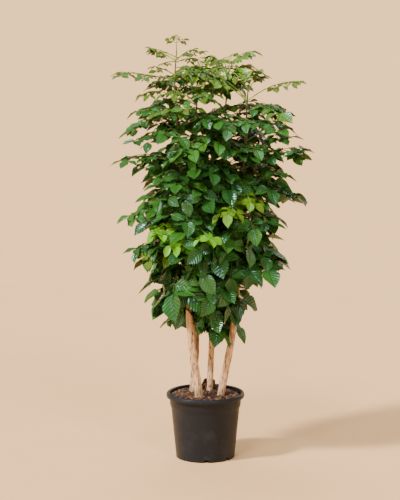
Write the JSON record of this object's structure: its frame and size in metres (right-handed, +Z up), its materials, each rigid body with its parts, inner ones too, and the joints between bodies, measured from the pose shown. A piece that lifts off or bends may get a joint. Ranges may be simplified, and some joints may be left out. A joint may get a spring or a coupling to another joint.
{
  "type": "potted china doll plant",
  "caption": "Floor-standing house plant with bare woody stems and a tall crown of glossy compound leaves, in a tapered black nursery pot filled with bark.",
  "frame": {"origin": "on the floor under the middle of the pot, on the face of the pad that the pot stands on", "axes": "+Z up along the plant, -Y towards the viewer of the picture, +X to that viewer's right"},
  "size_m": [0.6852, 0.5711, 1.4644],
  "materials": {
    "pot": "satin",
    "soil": "matte",
    "bark": "matte",
    "mature": "satin",
    "upper": "satin",
    "new": "satin"
  },
  "bodies": {
    "root": {"leaf_back_left_01": "upper", "leaf_back_left_02": "upper", "leaf_back_left_03": "mature", "leaf_back_left_04": "mature", "leaf_back_left_05": "mature", "leaf_back_left_06": "mature", "leaf_back_left_07": "mature", "leaf_back_left_08": "mature", "leaf_back_left_09": "mature", "leaf_back_left_10": "mature", "leaf_back_left_11": "mature", "leaf_back_left_12": "mature", "leaf_back_left_13": "mature", "leaf_back_left_14": "mature", "leaf_back_left_15": "mature", "leaf_back_left_16": "upper", "leaf_back_right_01": "upper", "leaf_back_right_02": "mature", "leaf_back_right_03": "mature", "leaf_back_right_04": "mature", "leaf_back_right_05": "mature", "leaf_back_right_06": "mature", "leaf_back_right_07": "mature", "leaf_back_right_08": "mature", "leaf_back_right_09": "upper", "leaf_back_right_10": "upper", "leaf_front_left_01": "upper", "leaf_front_left_02": "upper", "leaf_front_left_03": "upper", "leaf_front_left_04": "new", "leaf_front_left_05": "new", "leaf_front_left_06": "mature", "leaf_front_left_07": "mature", "leaf_front_left_08": "mature", "leaf_front_left_09": "mature", "leaf_front_left_10": "mature", "leaf_front_left_11": "mature", "leaf_front_left_12": "upper", "leaf_front_left_13": "upper", "leaf_front_left_14": "upper", "leaf_front_right_01": "upper", "leaf_front_right_02": "mature", "leaf_front_right_03": "mature", "leaf_front_right_04": "mature", "leaf_front_right_05": "mature", "leaf_front_right_06": "mature", "leaf_front_right_07": "mature", "leaf_front_right_08": "mature", "leaf_front_right_09": "mature", "leaf_front_right_10": "mature", "leaf_front_right_11": "upper", "pot": "pot", "soil": "soil", "stem_back_left": "bark", "stem_back_right": "bark", "stem_front_left": "bark", "stem_front_right": "bark"}
  },
  "joints": []
}
